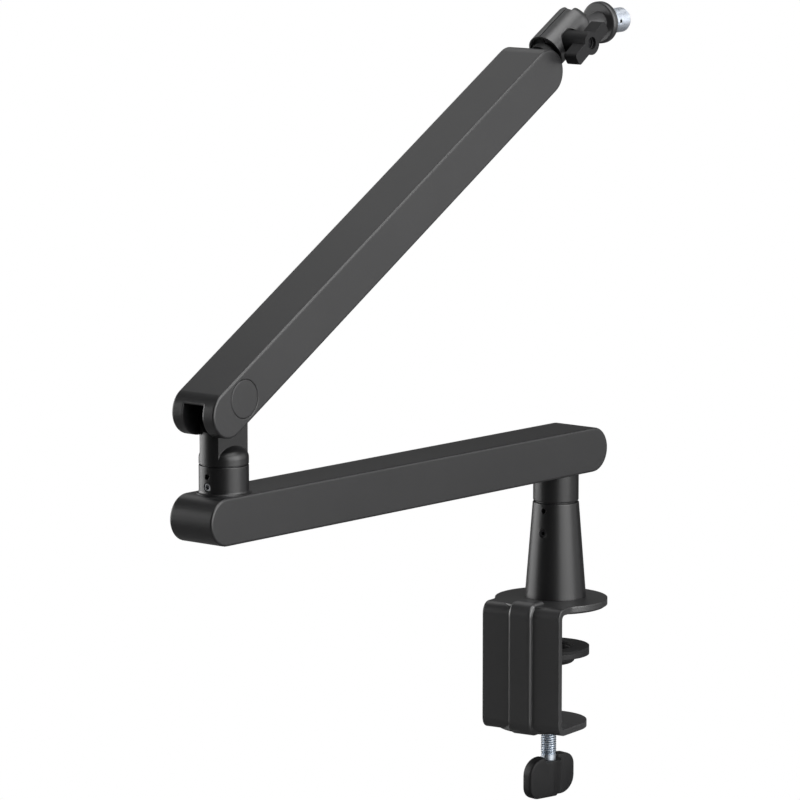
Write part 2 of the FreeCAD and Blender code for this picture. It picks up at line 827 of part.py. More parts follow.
def draw_round_bar(sketch, left, right, low, high):
    """The side view of an arm, with a half circle at each end."""
    radius = (high - low) / 2
    middle = low + radius
    draw_outline(sketch, [
        (left + radius, low, radius, 1),
        (right - radius, low),
        (right, middle, radius, 1),
        (right - radius, high, radius, 1),
        (left + radius, high),
        (left, middle, radius, 1),
    ])


def arm_bar(label, frame, left, right, low):
    """The solid outside of an arm, with its softened side edges."""
    body = new_body(label, frame)
    outside = new_sketch(body, "XZ_Plane")
    draw_round_bar(outside, left, right, low, low + size.arm_height)
    pad(body, outside, size.arm_width, symmetric=True)
    round_edges(body, size.arm_edge_round,
                lambda part: is_face(part, Y_AXIS, arm_half.number) or is_face(part, Y_AXIS, -arm_half.number))
    parts[label] = body
    return body


cover_opening = arm_half - size.arm_wall - size.cover_ledge


def open_underside(body, start, end, low):
    """The long opening under an arm that its cover closes."""
    opening = new_sketch(body, "XY_Plane", low)
    draw_box(opening, start, end, -cover_opening, cover_opening)
    pocket(body, opening, size.arm_wall + size.overrun, backwards=True)


def arm_cover(label, frame, start, end, low):
    """A moulded cover: a plate with two snap rails that hook over the ledges of the opening."""
    body = new_body(label, frame)
    edge = cover_opening - size.fit_clearance
    hook = low + size.arm_wall + size.fit_clearance
    top = low + size.cover_rail_height
    inner = edge - size.cover_rail_thickness
    section = new_sketch(body, "YZ_Plane", start + size.fit_clearance)
    draw_outline(section, [
        (-edge, low),
        (edge, low),
        (edge, hook),
        (edge + size.cover_hook, hook),
        (edge, top),
        (inner, top),
        (inner, low + size.cover_thickness),
        (-inner, low + size.cover_thickness),
        (-inner, top),
        (-edge, top),
        (-edge - size.cover_hook, hook),
        (-edge, hook),
    ])
    pad(body, section, end - start - size.fit_clearance * 2)
    parts[label] = body


lower_left = -size.lower_base_end
lower_right = size.lower_span + size.lower_elbow_end
lower = arm_bar("lower_arm_shell", lower_frame, lower_left, lower_right, NOTHING)
hollow = new_sketch(lower, "XZ_Plane")
draw_round_bar(hollow, lower_left + size.arm_wall, lower_right - size.arm_wall,
               size.arm_wall, size.arm_height - size.arm_wall)
pocket(lower, hollow, size.arm_width - size.arm_wall * 2, symmetric=True)
lower_cover_end = size.lower_span - size.lower_cover_end
open_underside(lower, size.lower_cover_start, lower_cover_end, NOTHING)
drill_bolt_circle(lower, size.arm_wall + size.overrun, True)
holes = new_sketch(lower, "XY_Plane", size.arm_height - size.arm_wall - size.overrun)
for x, y in on_circle(size.plate_bolt_count, size.plate_bolt_circle, between_share):
    draw_circle(holes, x + size.lower_span, y, size.plate_bolt_radius + size.fit_clearance)
draw_circle(holes, size.lower_span, NOTHING, size.neck_spindle_radius + size.side_clearance)
pocket(lower, holes, size.arm_wall + size.overrun * 2, backwards=True)
arm_cover("lower_arm_cover", lower_frame, size.lower_cover_start, lower_cover_end, NOTHING)


def joint_plate(label, placement, bore):
    """A steel plate inside the arm that spreads the load of a bolt circle."""
    body = new_body(label, placement)
    half_length = size.joint_plate_length / 2
    half_plate = arm_half - size.arm_wall - size.side_clearance
    blank = new_sketch(body, "XY_Plane")
    draw_box(blank, -half_length, half_length, -half_plate, half_plate)
    if bore is not None:
        draw_circle(blank, NOTHING, NOTHING, bore)
    for x, y in on_circle(size.plate_bolt_count, size.plate_bolt_circle, between_share):
        draw_circle(blank, x, y, size.plate_bolt_radius + size.fit_clearance)
    pad(body, blank, size.joint_plate_thickness)
    parts[label] = body


def plate_bolts(label, placement):
    """The four bolts of a joint plate, heads on the plate and shanks along the placement's -Z."""
    screws = []
    for x, y in on_circle(size.plate_bolt_count, size.plate_bolt_circle, between_share):
        screw = new_body(label + "_screw", placement * at(x, y, NOTHING))
        reach = size.joint_plate_thickness + size.arm_wall + size.plate_bolt_grip - size.fit_clearance * 2
        revolve(screw, [
            (NOTHING, -reach),
            (size.plate_bolt_radius, -reach),
            (size.plate_bolt_radius, NOTHING),
            (size.plate_bolt_head, NOTHING),
            (size.plate_bolt_head, size.plate_bolt_head_height),
            (NOTHING, size.plate_bolt_head_height),
        ])
        screws.append(screw)
    group(label, screws)


joint_plate("base_joint_plate", lower_frame * at(NOTHING, NOTHING, size.arm_wall), None)
plate_bolts("base_joint_bolts", lower_frame * at(NOTHING, NOTHING, size.arm_wall + size.joint_plate_thickness))

# Elbow: a collar on the lower arm, bushed for the spindle of the neck

elbow_ceiling = elbow_frame * at(NOTHING, NOTHING, -size.arm_wall)
joint_plate("elbow_joint_plate", elbow_ceiling * at(NOTHING, NOTHING, -size.joint_plate_thickness),
            size.neck_spindle_radius + size.side_clearance)
plate_bolts("elbow_joint_bolts",
            elbow_ceiling * at(NOTHING, NOTHING, -size.joint_plate_thickness, around(X_AXIS, 180)))
collar_frame = elbow_frame * at(NOTHING, NOTHING, NOTHING, around(Z_AXIS, 90))
collar = turned("elbow_collar", collar_frame, [
    (size.elbow_bush_radius + size.fit_clearance, NOTHING),
    (size.collar_radius + size.collar_flare, NOTHING),
    (size.collar_radius, size.collar_flare, size.collar_flare, -1),
    (size.collar_radius, size.collar_height - size.collar_edge_round),
    (size.collar_radius - size.collar_edge_round, size.collar_height, size.collar_edge_round, 1),
    (size.elbow_bush_radius + size.fit_clearance, size.collar_height),
])
drill_bolt_circle(collar, size.plate_bolt_grip, True)
holes = new_sketch(collar, "XZ_Plane")
draw_circle(holes, NOTHING, size.collar_height - size.elbow_grub_drop, size.grub_radius + size.fit_clearance)
draw_circle(holes, NOTHING, size.collar_height - size.elbow_pilot_drop, size.pilot_radius + size.fit_clearance)
pocket(collar, holes, size.collar_radius + size.overrun, backwards=True)
turned("elbow_bush", elbow_frame, [
    (size.neck_spindle_radius + size.running_clearance, NOTHING),
    (size.elbow_bush_radius, NOTHING),
    (size.elbow_bush_radius, size.collar_height),
    (size.neck_spindle_radius + size.running_clearance, size.collar_height),
])
elbow_seat = size.elbow_bush_radius + size.side_clearance
grub_pair("elbow_set_screws", collar_frame, size.collar_height, [
    (size.elbow_grub_drop, size.grub_radius, elbow_seat, size.collar_radius - size.grub_inset),
    (size.elbow_pilot_drop, size.pilot_radius, elbow_seat, size.collar_radius - size.pilot_inset / 2),
])

# Neck: a domed ring with a flat blade that rises into the fork of the upper arm

# the shoulder arc runs into the crown arc at the slope of a 3-4-5 triangle
DOME_RUN_SHARE = 3 / 5
DOME_RISE_SHARE = 4 / 5

turned("elbow_thrust_washer", neck_frame * at(NOTHING, NOTHING, -size.washer_thickness), [
    (size.neck_spindle_radius + size.fit_clearance, NOTHING),
    (size.collar_radius - size.washer_inset, NOTHING),
    (size.collar_radius - size.washer_inset, size.washer_thickness),
    (size.neck_spindle_radius + size.fit_clearance, size.washer_thickness),
])
fork_cheek = size.cap_thickness + size.pivot_head_room + size.pivot_head_height + size.pivot_web
slot_width = size.arm_width - fork_cheek * 2
blade_thickness = slot_width - (size.friction_washer_thickness + size.friction_gap) * 2
blade_top = size.pivot_height + size.eye_radius
blade_outside = size.neck_ring_radius + size.overrun
taper_start = size.pivot_height - size.eye_drop
neck = turned("elbow_neck", neck_frame, [
    (NOTHING, NOTHING),
    (size.neck_ring_radius, NOTHING),
    (size.neck_ring_radius, blade_top),
    (NOTHING, blade_top),
])
eye = new_sketch(neck, "XZ_Plane")
draw_outline(eye, [
    (-blade_outside, taper_start),
    (-size.neck_ring_radius, taper_start),
    (-size.eye_radius, size.pivot_height),
    (NOTHING, blade_top, size.eye_radius, -1),
    (size.eye_radius, size.pivot_height, size.eye_radius, -1),
    (size.neck_ring_radius, taper_start),
    (blade_outside, taper_start),
    (blade_outside, blade_top + size.overrun),
    (-blade_outside, blade_top + size.overrun),
])
pocket(neck, eye)
flats = new_sketch(neck, "XY_Plane")
draw_box(flats, -blade_outside, blade_outside, blade_thickness / 2, blade_outside)
draw_box(flats, -blade_outside, blade_outside, -blade_outside, -blade_thickness / 2)
pocket(neck, flats, blade_top + size.overrun, backwards=True)
dome_run = size.neck_ring_radius - size.dome_shoulder
dome_crown = size.dome_shoulder + dome_run / DOME_RUN_SHARE
revolve(neck, [
    (NOTHING, NOTHING),
    (size.neck_ring_radius, NOTHING),
    (size.neck_ring_radius, size.neck_wall),
    (dome_run + size.dome_shoulder * DOME_RUN_SHARE,
     size.neck_wall + size.dome_shoulder * DOME_RISE_SHARE, size.dome_shoulder, 1),
    (NOTHING, size.neck_wall - dome_run * DOME_RISE_SHARE / DOME_RUN_SHARE + dome_crown, dome_crown, 1),
])
groove_high = -(size.washer_thickness + size.collar_height + size.arm_wall + size.joint_plate_thickness)
groove_low = groove_high - size.neck_clip_thickness - size.fit_clearance * 2
groove_seat = size.neck_spindle_radius - size.neck_clip_groove
revolve(neck, [
    (NOTHING, groove_low - size.neck_tail),
    (size.neck_spindle_radius, groove_low - size.neck_tail),
    (size.neck_spindle_radius, groove_low),
    (groove_seat, groove_low),
    (groove_seat, groove_high),
    (size.neck_spindle_radius, groove_high),
    (size.neck_spindle_radius, NOTHING),
    (NOTHING, NOTHING),
])
hole = new_sketch(neck, "XZ_Plane")
draw_circle(hole, NOTHING, size.pivot_height, size.pivot_bolt_radius + size.running_clearance)
pocket(neck, hole)
turned("neck_clip", neck_frame, [
    (groove_seat + size.running_clearance, groove_low + size.fit_clearance),
    (size.neck_clip_radius, groove_low + size.fit_clearance),
    (size.neck_clip_radius, groove_high - size.fit_clearance),
    (groove_seat + size.running_clearance, groove_high - size.fit_clearance),
])

# Upper arm: a forked tail on the lift pivot and a bored nose for the head

upper = arm_bar("upper_arm_shell", upper_frame, -size.upper_tail_end, size.upper_head_end, -arm_radius)
hollow = new_sketch(upper, "XZ_Plane")
draw_box(hollow, size.tail_block, size.upper_head_end - size.nose_block,
         -arm_radius + size.arm_wall, arm_radius - size.arm_wall)
pocket(upper, hollow, size.arm_width - size.arm_wall * 2, symmetric=True)
upper_cover_end = size.upper_head_end - size.upper_cover_end
open_underside(upper, size.upper_cover_start, upper_cover_end, -arm_radius)
slot = new_sketch(upper, "XZ_Plane")
draw_box(slot, -size.upper_tail_end - size.overrun, size.slot_run,
         -arm_radius - size.overrun, size.slot_ceiling)
pocket(upper, slot, slot_width, symmetric=True)
hole = new_sketch(upper, "XZ_Plane")
draw_circle(hole, NOTHING, NOTHING, size.pivot_bolt_radius + size.fit_clearance)
pocket(upper, hole)
recess_floor = slot_width / 2 + size.pivot_web
for side_sign, backwards in ((1, False), (-1, True)):
    for radius, floor in ((size.cap_radius + size.fit_clearance, arm_half - size.cap_thickness),
                          (size.pivot_recess_radius, recess_floor)):
        counterbore = new_sketch(upper, "XZ_Plane", (arm_half + size.overrun) * side_sign)
        draw_circle(counterbore, NOTHING, NOTHING, radius)
        pocket(upper, counterbore, arm_half + size.overrun - floor, backwards=backwards)
bore = new_sketch(upper, "YZ_Plane", size.upper_head_end + size.overrun)
draw_circle(bore, NOTHING, NOTHING, size.spigot_radius + size.running_clearance)
pocket(upper, bore, size.nose_block + size.overrun * 2)
arm_cover("upper_arm_cover", upper_frame, size.upper_cover_start, upper_cover_end, -arm_radius)

# Lift pivot: bolt, nut, disc spring and friction washers, closed by two flush caps


def draw_hexagon(sketch, flats):
    corner = flats / math.sqrt(3)
    turns = [math.pi * (step + 0.5) / 3 for step in range(6)]
    draw_outline(sketch, [(corner * math.cos(turn), corner * math.sin(turn)) for turn in turns])


pivot_frame = upper_frame * FreeCAD.Placement(ORIGIN, FACING_FRONT)
turned("pivot_bolt", pivot_frame, [
    (NOTHING, -recess_floor - size.pivot_head_height + size.pivot_socket_depth),
    (size.pivot_socket_radius, -recess_floor - size.pivot_head_height + size.pivot_socket_depth),
    (size.pivot_socket_radius, -recess_floor - size.pivot_head_height),
    (size.pivot_head_radius, -recess_floor - size.pivot_head_height),
    (size.pivot_head_radius, -recess_floor),
    (size.pivot_bolt_radius, -recess_floor),
    (size.pivot_bolt_radius, recess_floor + size.disc_spring_thickness + size.pivot_nut_height),
    (NOTHING, recess_floor + size.disc_spring_thickness + size.pivot_nut_height),
])
turned("disc_spring", pivot_frame, [
    (size.pivot_bolt_radius + size.fit_clearance, recess_floor),
    (size.disc_spring_radius, recess_floor),
    (size.disc_spring_radius, recess_floor + size.disc_spring_thickness),
    (size.pivot_bolt_radius + size.fit_clearance, recess_floor + size.disc_spring_thickness),
])
nut = new_body("pivot_nut", pivot_frame)
blank = new_sketch(nut, "XY_Plane", recess_floor + size.disc_spring_thickness)
draw_hexagon(blank, size.pivot_nut_flats)
draw_circle(blank, NOTHING, NOTHING, size.pivot_bolt_radius + size.fit_clearance)
pad(nut, blank, size.pivot_nut_height)
parts["pivot_nut"] = nut
washers = []
for low in (slot_width / 2 - size.friction_washer_thickness, -slot_width / 2):
    washer = new_body("friction_washer", pivot_frame)
    revolve(washer, [
        (size.pivot_bolt_radius + size.fit_clearance, low),
        (size.friction_washer_radius, low),
        (size.friction_washer_radius, low + size.friction_washer_thickness),
        (size.pivot_bolt_radius + size.fit_clearance, low + size.friction_washer_thickness),
    ])
    washers.append(washer)
group("friction_washers", washers)
for label, turn in (("pivot_cap_front", 0), ("pivot_cap_rear", 180)):
    turned(label, pivot_frame * FreeCAD.Placement(ORIGIN, around(X_AXIS, turn)), [
        (NOTHING, arm_half - size.cap_thickness),
        (size.cap_radius, arm_half - size.cap_thickness),
        (size.cap_radius, arm_half - size.cap_edge_round),
        (size.cap_radius - size.cap_edge_round, arm_half, size.cap_edge_round, 1),
        (NOTHING, arm_half),
    ])

# Head swivel: a flanged spigot that turns in the nose, held by a washer and a nut inside the arm

nose_frame = upper_frame * at(size.upper_head_end, NOTHING, NOTHING, ALONG_ARM)
flange_face = size.spigot_gap + size.spigot_flange_thickness
head_start = flange_face + size.spigot_neck_length
turned("head_spigot", nose_frame, [
    (NOTHING, -size.nose_block - size.spigot_tail),
    (size.spigot_radius, -size.nose_block - size.spigot_tail),
    (size.spigot_radius, size.spigot_gap),
    (size.spigot_flange_radius, size.spigot_gap),
    (size.spigot_flange_radius, flange_face),
    (size.spigot_neck_radius, flange_face),
    (size.spigot_neck_radius, head_start),
    (size.spigot_head_radius, head_start),
    (size.spigot_head_radius, head_start + size.spigot_head_length),
    (NOTHING, head_start + size.spigot_head_length),
])
washer_low = -size.nose_block - size.spigot_washer_thickness
turned("spigot_washer", nose_frame, [
    (size.spigot_radius + size.fit_clearance, washer_low),
    (size.spigot_washer_radius, washer_low),
    (size.spigot_washer_radius, -size.nose_block),
    (size.spigot_radius + size.fit_clearance, -size.nose_block),
])
nut = new_body("spigot_nut", nose_frame)
blank = new_sketch(nut, "XY_Plane", washer_low - size.spigot_nut_height)
draw_hexagon(blank, size.spigot_nut_flats)
draw_circle(blank, NOTHING, NOTHING, size.spigot_radius + size.fit_clearance)
pad(nut, blank, size.spigot_nut_height)
parts["spigot_nut"] = nut

# Split clamp: two mirror halves squeezed by one bolt, round the spigot at one end and the ball at the other

clamp_start = size.clamp_gap - size.ball_reach
bolt_place = -size.clamp_bolt_setback
head_back = head_start - size.ball_reach
clear = size.clamp_radius * 2
for label, side_sign, backwards in (("head_clamp_front", 1, False), ("head_clamp_rear", -1, True)):
    half = new_body(label, ball_frame)
    revolve(half, [
        (clamp_start, NOTHING),
        (size.clamp_tip, NOTHING),
        (size.clamp_tip, size.clamp_radius - size.clamp_tip_round),
        (size.clamp_tip - size.clamp_tip_round, size.clamp_radius, size.clamp_tip_round, 1),
        (clamp_start, size.clamp_radius),
    ], axis="H_Axis")
    split = new_sketch(half, "XZ_Plane", size.clamp_slit / 2 * side_sign)
    draw_box(split, clamp_start - size.overrun, clear, -clear, clear)
    pocket(half, split, clear, backwards=backwards)
    socket = size.ball_radius + size.ball_clearance
    revolve(half, [
        (NOTHING, -socket),
        (socket, NOTHING, socket, 1),
        (NOTHING, socket, socket, 1),
    ], cut=True)
    channel = new_sketch(half, "XZ_Plane")
    draw_box(channel, size.channel_start, clear, -clear, clear)
    pocket(half, channel, (size.stud_shank_radius + size.side_clearance) * 2, symmetric=True)
    mouth = new_sketch(half, "YZ_Plane", clamp_start - size.overrun)
    draw_circle(mouth, NOTHING, NOTHING, size.clamp_mouth_radius)
    pocket(half, mouth, size.clamp_mouth_depth + size.overrun, backwards=True)
    grip = new_sketch(half, "YZ_Plane", clamp_start - size.overrun)
    draw_circle(grip, NOTHING, NOTHING, size.spigot_neck_radius + size.fit_clearance)
    pocket(half, grip, head_back - clamp_start + size.overrun, backwards=True)
    grip = new_sketch(half, "YZ_Plane", head_back - size.fit_clearance)
    draw_circle(grip, NOTHING, NOTHING, size.spigot_head_radius + size.fit_clearance)
    pocket(half, grip, size.spigot_head_length + size.fit_clearance * 2, backwards=True)
    hole = new_sketch(half, "XZ_Plane")
    draw_circle(hole, bolt_place, NOTHING, size.bolt_radius + size.fit_clearance)
    pocket(half, hole)
    seat = new_sketch(half, "XZ_Plane", (size.clamp_radius + size.overrun) * side_sign)
    draw_circle(seat, bolt_place, NOTHING, size.spot_radius)
    pocket(half, seat, size.clamp_radius + size.overrun - size.spot_face, backwards=backwards)
    parts[label] = half

bolt_frame = ball_frame * at(bolt_place, NOTHING, NOTHING, FACING_FRONT)
bolt = new_body("head_clamp_bolt", bolt_frame)
head = new_sketch(bolt, "XY_Plane", -size.spot_face - size.bolt_head_height)
draw_hexagon(head, size.bolt_head_flats)
pad(bolt, head, size.bolt_head_height)
revolve(bolt, [
    (NOTHING, -size.spot_face - size.bolt_head_height / 2),
    (size.bolt_radius, -size.spot_face - size.bolt_head_height / 2),
    (size.bolt_radius, size.bolt_reach),
    (NOTHING, size.bolt_reach),
])
parts["head_clamp_bolt"] = bolt

# Wing knob of the head, moulded round a threaded insert

wing_frame = bolt_frame * FreeCAD.Placement(ORIGIN, around(Z_AXIS, size.wing_angle.number))
wing = new_body("head_knob", wing_frame)
hub_low = size.spot_face + size.fit_clearance
revolve(wing, [
    (NOTHING, hub_low),
    (size.wing_hub_radius, hub_low),
    (size.wing_hub_radius, size.wing_tip),
    (NOTHING, size.wing_tip),
])
blades = new_sketch(wing, "XY_Plane", size.wing_root)
half_span = size.wing_span / 2
half_wing = size.wing_width / 2
draw_outline(blades, [
    (-half_span + size.wing_corner, -half_wing, size.wing_corner, 1),
    (half_span - size.wing_corner, -half_wing),
    (half_span, -half_wing + size.wing_corner, size.wing_corner, 1),
    (half_span, half_wing - size.wing_corner),
    (half_span - size.wing_corner, half_wing, size.wing_corner, 1),
    (-half_span + size.wing_corner, half_wing),
    (-half_span, half_wing - size.wing_corner, size.wing_corner, 1),
    (-half_span, -half_wing + size.wing_corner),
])
pad(wing, blades, size.wing_tip - size.wing_root)
insert_top = hub_low + size.insert_length
revolve(wing, [
    (NOTHING, hub_low - size.overrun),
    (size.insert_radius + size.fit_clearance, hub_low - size.overrun),
    (size.insert_radius + size.fit_clearance, insert_top),
    (size.bolt_radius + size.fit_clearance, insert_top),
    (size.bolt_radius + size.fit_clearance, size.wing_tip - size.wing_recess_depth),
    (size.wing_recess_radius, size.wing_tip - size.wing_recess_depth),
    (size.wing_recess_radius, size.wing_tip + size.overrun),
    (NOTHING, size.wing_tip + size.overrun),
], cut=True)
parts["head_knob"] = wing
turned("head_knob_insert", wing_frame, [
    (size.bolt_radius + size.running_clearance, hub_low),
    (size.insert_radius, hub_low),
    (size.insert_radius, insert_top),
    (size.bolt_radius + size.running_clearance, insert_top),
])

# Ball, microphone stud and thread adapter

flat_radius = root_of_squares(size.ball_radius, size.ball_flat)
turned("tilt_ball", stud_frame, [
    (size.stud_shank_radius + size.running_clearance, -size.ball_flat),
    (flat_radius, -size.ball_flat),
    (size.ball_radius, NOTHING, size.ball_radius, 1),
    (flat_radius, size.ball_flat, size.ball_radius, 1),
    (size.stud_shank_radius + size.running_clearance, size.ball_flat),
])
flange_end = size.flange_start + size.flange_thickness
turned("mic_stud", stud_frame, [
    (NOTHING, -size.ball_flat),
    (size.stud_shank_radius, -size.ball_flat),
    (size.stud_shank_radius, size.stud_cone_start),
    (size.stud_cone_radius, size.stud_cone_start),
    (size.stud_flare_radius, size.flange_start),
    (size.flange_radius - size.flange_round, size.flange_start),
    (size.flange_radius, size.flange_start + size.flange_round, size.flange_round, 1),
    (size.flange_radius, flange_end - size.flange_round),
    (size.flange_radius - size.flange_round, flange_end, size.flange_round, 1),
    (size.small_thread_radius, flange_end),
    (size.small_thread_radius, flange_end + size.small_thread_length),
    (NOTHING, flange_end + size.small_thread_length),
])
adapter_top = flange_end + size.adapter_length
adapter_ledge = flange_end + size.adapter_collar_length
adapter = turned("thread_adapter", stud_frame, [
    (size.small_thread_radius + size.fit_clearance, flange_end),
    (size.adapter_collar_radius, flange_end),
    (size.adapter_collar_radius, adapter_ledge),
    (size.large_thread_radius, adapter_ledge),
    (size.large_thread_radius, adapter_top - size.adapter_chamfer),
    (size.large_thread_radius - size.adapter_chamfer, adapter_top),
    (size.small_thread_radius + size.fit_clearance, adapter_top),
])
hole = new_sketch(adapter, "XZ_Plane")
draw_circle(hole, NOTHING, flange_end + size.adapter_collar_length / 2, size.adapter_hole_radius)
pocket(adapter, hole, size.adapter_collar_radius + size.overrun, backwards=True)

doc.recompute()
for thing in doc.Objects:
    if "Invalid" in thing.State or "Error" in thing.State:
        raise RuntimeError(f"{thing.Label} failed: {thing.State}")
for label, part in parts.items():
    if part.Shape.isNull() or not part.Shape.isValid():
        raise RuntimeError(f"{label} has no valid shape")

os.makedirs("parts", exist_ok=True)
for label, part in parts.items():
    part.Shape.exportStep(os.path.join("parts", label + ".step"))
print(f"{len(parts)} sub-parts written")
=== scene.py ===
import json
import math

import bmesh
import bpy
from mathutils import Matrix, Vector

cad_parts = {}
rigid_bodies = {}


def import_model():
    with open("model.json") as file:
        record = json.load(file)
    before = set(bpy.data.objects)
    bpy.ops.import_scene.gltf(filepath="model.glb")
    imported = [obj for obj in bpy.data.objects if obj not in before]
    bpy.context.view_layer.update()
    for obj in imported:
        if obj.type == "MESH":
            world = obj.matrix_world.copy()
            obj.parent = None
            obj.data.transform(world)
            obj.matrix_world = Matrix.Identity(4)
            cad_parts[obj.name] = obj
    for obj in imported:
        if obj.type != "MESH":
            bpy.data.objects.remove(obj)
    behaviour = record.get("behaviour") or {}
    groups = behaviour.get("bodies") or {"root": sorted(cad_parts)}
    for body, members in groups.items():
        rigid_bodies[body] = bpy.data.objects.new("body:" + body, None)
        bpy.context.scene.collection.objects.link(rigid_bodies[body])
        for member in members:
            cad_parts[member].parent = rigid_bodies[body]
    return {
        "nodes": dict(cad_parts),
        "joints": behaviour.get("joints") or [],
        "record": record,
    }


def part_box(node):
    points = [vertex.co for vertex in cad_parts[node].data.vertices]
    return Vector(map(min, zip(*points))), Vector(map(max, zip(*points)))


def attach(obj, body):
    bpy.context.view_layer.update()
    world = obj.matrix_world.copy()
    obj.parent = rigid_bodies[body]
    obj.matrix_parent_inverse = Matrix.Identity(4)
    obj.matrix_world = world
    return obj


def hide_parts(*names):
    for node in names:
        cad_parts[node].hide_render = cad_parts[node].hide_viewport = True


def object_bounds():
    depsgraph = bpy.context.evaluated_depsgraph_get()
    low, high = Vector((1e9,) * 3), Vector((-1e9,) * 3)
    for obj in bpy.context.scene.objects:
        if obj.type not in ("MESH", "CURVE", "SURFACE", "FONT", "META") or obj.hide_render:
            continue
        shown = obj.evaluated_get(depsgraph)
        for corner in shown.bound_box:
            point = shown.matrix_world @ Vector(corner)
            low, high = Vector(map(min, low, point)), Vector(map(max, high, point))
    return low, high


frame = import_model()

cad_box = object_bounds()


# Clamp bracket: a strip of 4 mm steel, bent into a C with a pressed rib round its back.
# Its satin powder coat is baked on, so the edges are soft and the flats slightly pebbled.

MM = 0.001
CLOUD_SIZE = 40 * MM
node = frame["nodes"]


def linear(hex_colour):
    """An sRGB hex value as linear red, green, blue and alpha."""
    parts = [int(hex_colour[i:i + 2], 16) / 255 for i in (1, 3, 5)]
    return [c / 12.92 if c <= 0.04045 else ((c + 0.055) / 1.055) ** 2.4 for c in parts] + [1.0]


def add(tree, kind, links=None, **settings):
    """Add a node, set its sockets or properties, and link outputs to its sockets."""
    made = tree.nodes.new(kind)
    for name, value in settings.items():
        label = name.replace("_", " ").title()
        if label in made.inputs:
            made.inputs[label].default_value = value
        else:
            setattr(made, name, value)
    for name, output in (links or {}).items():
        tree.links.new(output, made.inputs[name])
    return made


def finish_material(name, colours, roughness, grain_mm, bump_mm, round_mm, **surface):
    """A surface whose colour and gloss wander a little between two hex colours and two roughnesses."""
    material = bpy.data.materials.new(name)
    material.use_nodes = True
    tree = material.node_tree
    tree.nodes.clear()
    place = add(tree, "ShaderNodeTexCoord").outputs["Object"]
    cloud = add(tree, "ShaderNodeTexNoise", {"Vector": place}, scale=1 / CLOUD_SIZE, detail=3.0)
    tint = add(tree, "ShaderNodeValToRGB", {"Fac": cloud.outputs["Fac"]})
    for stop, position, colour in zip(tint.color_ramp.elements, (0.3, 0.7), colours):
        stop.position = position
        stop.color = linear(colour)
    grain = add(tree, "ShaderNodeTexNoise", {"Vector": place}, scale=1 / (grain_mm * MM), detail=2.0)
    gloss = add(tree, "ShaderNodeMapRange", {"Value": grain.outputs["Fac"]},
                to_min=roughness[0], to_max=roughness[1])
    soft_edge = add(tree, "ShaderNodeBevel", radius=round_mm * MM, samples=6)
    bump = add(tree, "ShaderNodeBump", {"Height": grain.outputs["Fac"], "Normal": soft_edge.outputs["Normal"]},
               strength=1.0, distance=bump_mm * MM)
    shader = add(tree, "ShaderNodeBsdfPrincipled", {
        "Base Color": tint.outputs["Color"],
        "Roughness": gloss.outputs["Result"],
        "Normal": bump.outputs["Normal"],
    })
    for socket, value in surface.items():
        shader.inputs[socket.replace("_", " ")].default_value = value
    add(tree, "ShaderNodeOutputMaterial", {"Surface": shader.outputs["BSDF"]})
    return material


def wear(material, *names):
    """Give CAD nodes a material."""
    for name in names:
        node[name].data.materials.clear()
        node[name].data.materials.append(material)


# Satin powder coat on steel: near black, with a low even sheen that picks up the bends and the rib.
# Its grit is about 0.2 mm and is drawn at 0.5 mm, so that it shows.
steel_coat = finish_material("satin_powder_coat_on_steel", ("#131314", "#171718"), (0.36, 0.42),
                             grain_mm=0.5, bump_mm=0.006, round_mm=0.9, Specular_IOR_Level=1.0)
wear(steel_coat, "clamp_bracket")


# Jaw pads: two flat rings of moulded nitrile rubber that grip the desk from above and below.
# They are glued to the upper jaw and to the pressure plate.

# Moulded rubber: dull and slightly grey, with hardly any gloss.
nitrile = finish_material("moulded_nitrile_rubber", ("#121213", "#171718"), (0.7, 0.85),
                          grain_mm=0.4, bump_mm=0.02, round_mm=0.3, Specular_IOR_Level=0.3)
wear(nitrile, "upper_jaw_pad", "pressure_pad")


# Pressure plate: a moulded nylon cup on the screw's journal, which stays still while the screw turns.
# A clip in the journal's groove keeps it on.

# Spark-textured nylon: an even black with a soft, broad sheen.
nylon = finish_material("spark_textured_nylon", ("#0c0c0d", "#101011"), (0.45, 0.58),
                        grain_mm=0.6, bump_mm=0.02, round_mm=0.5, Specular_IOR_Level=0.35)
wear(nylon, "pressure_plate")


# Clamp screw: M10 steel with a rolled thread of 1.5 mm pitch, moulded into the knob.
# A plain neck shows above the knob, and a slim journal with a clip groove carries the pressure plate.

SCREW_PITCH = 1.5 * MM
SCREW_RADIUS = 5.0 * MM
THREAD_DEPTH_PER_PITCH = 0.61
SCREW_DEPTH = THREAD_DEPTH_PER_PITCH * SCREW_PITCH
NECK_RADIUS = 4.7 * MM
NECK_HEIGHT = 0.4 * MM
JOURNAL_RADIUS = 3.8 * MM
JOURNAL_CHAMFER = 0.5 * MM
GROOVE_RADIUS = 3.0 * MM
TURN_STEPS = 48
ROWS_PER_PITCH = 10
ROOT_SHARE = 0.2
FLANK_SHARE = 0.4
CREASE = math.radians(35)
angles = [2 * math.pi * step / TURN_STEPS for step in range(TURN_STEPS)]
scene_pieces = bpy.context.scene.collection.objects


def plain_ring(radius, height):
    """One round ring of a turned piece, as its radii and its height."""
    return [radius] * TURN_STEPS, height


def thread_rings(radius, pitch, depth, start, end):
    """Rings that wind a thread from start to end and run out over a pitch at each end.

    The crests are drawn broader than real ones, so that the turns show.
    """
    rows = round((end - start) / pitch * ROWS_PER_PITCH)
    rings = []
    for row in range(rows + 1):
        height = start + (end - start) * row / rows
        run_out = min(1.0, (height - start) / pitch, (end - height) / pitch)
        radii = []
        for angle in angles:
            wave = abs(2 * ((height / pitch - angle / (2 * math.pi)) % 1.0) - 1)
            crest = min(max((wave - ROOT_SHARE) / FLANK_SHARE, 0.0), 1.0)
            radii.append(radius - depth * (1 - crest * run_out))
        rings.append((radii, height))
    return rings


